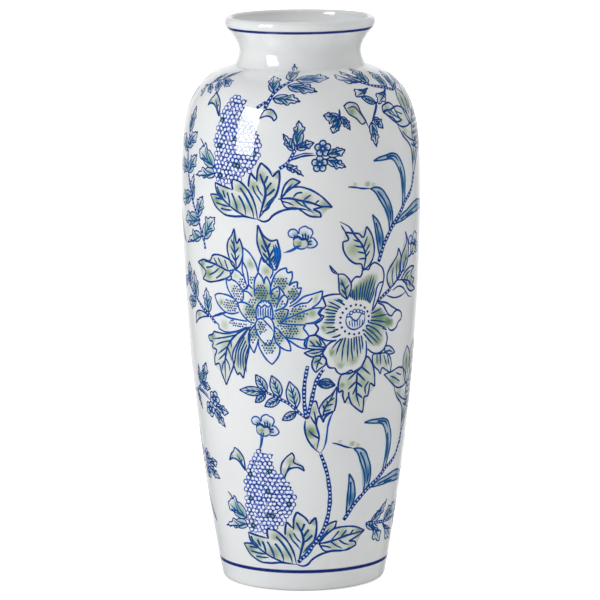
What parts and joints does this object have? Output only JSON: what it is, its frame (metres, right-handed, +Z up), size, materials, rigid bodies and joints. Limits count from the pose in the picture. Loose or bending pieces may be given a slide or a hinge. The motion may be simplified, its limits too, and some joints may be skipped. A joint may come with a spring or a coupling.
{
  "type": "porcelain vase",
  "caption": "Tall shouldered porcelain vase with a short waisted neck, a rolled lip and a turned foot ring, hollow and open at the top.",
  "frame": {"origin": "centre of the foot ring's flat underside, on the ground", "axes": "+Z up along the vase's axis of turning, -Y towards the front of the painted decoration, +X to the viewer's right"},
  "size_m": [0.1928, 0.1928, 0.46],
  "materials": {
    "porcelain": "unglazed, fired to a smooth matte body",
    "slip": "fired slip, matte",
    "glaze": "clear glaze over white porcelain, very glossy",
    "cobalt_paint": "cobalt blue brush lines under the clear glaze",
    "green_wash": "pale grey-green wash under the clear glaze"
  },
  "bodies": {
    "root": {"foot_ring": "porcelain", "base_floor": "porcelain", "lower_body": "porcelain", "upper_body": "porcelain", "neck": "porcelain", "mouth_rim": "porcelain", "floor_slip_bed": "slip", "foot_slip_seam": "slip", "waist_slip_seam": "slip", "neck_slip_seam": "slip", "mouth_slip_seam": "slip"}
  },
  "joints": []
}
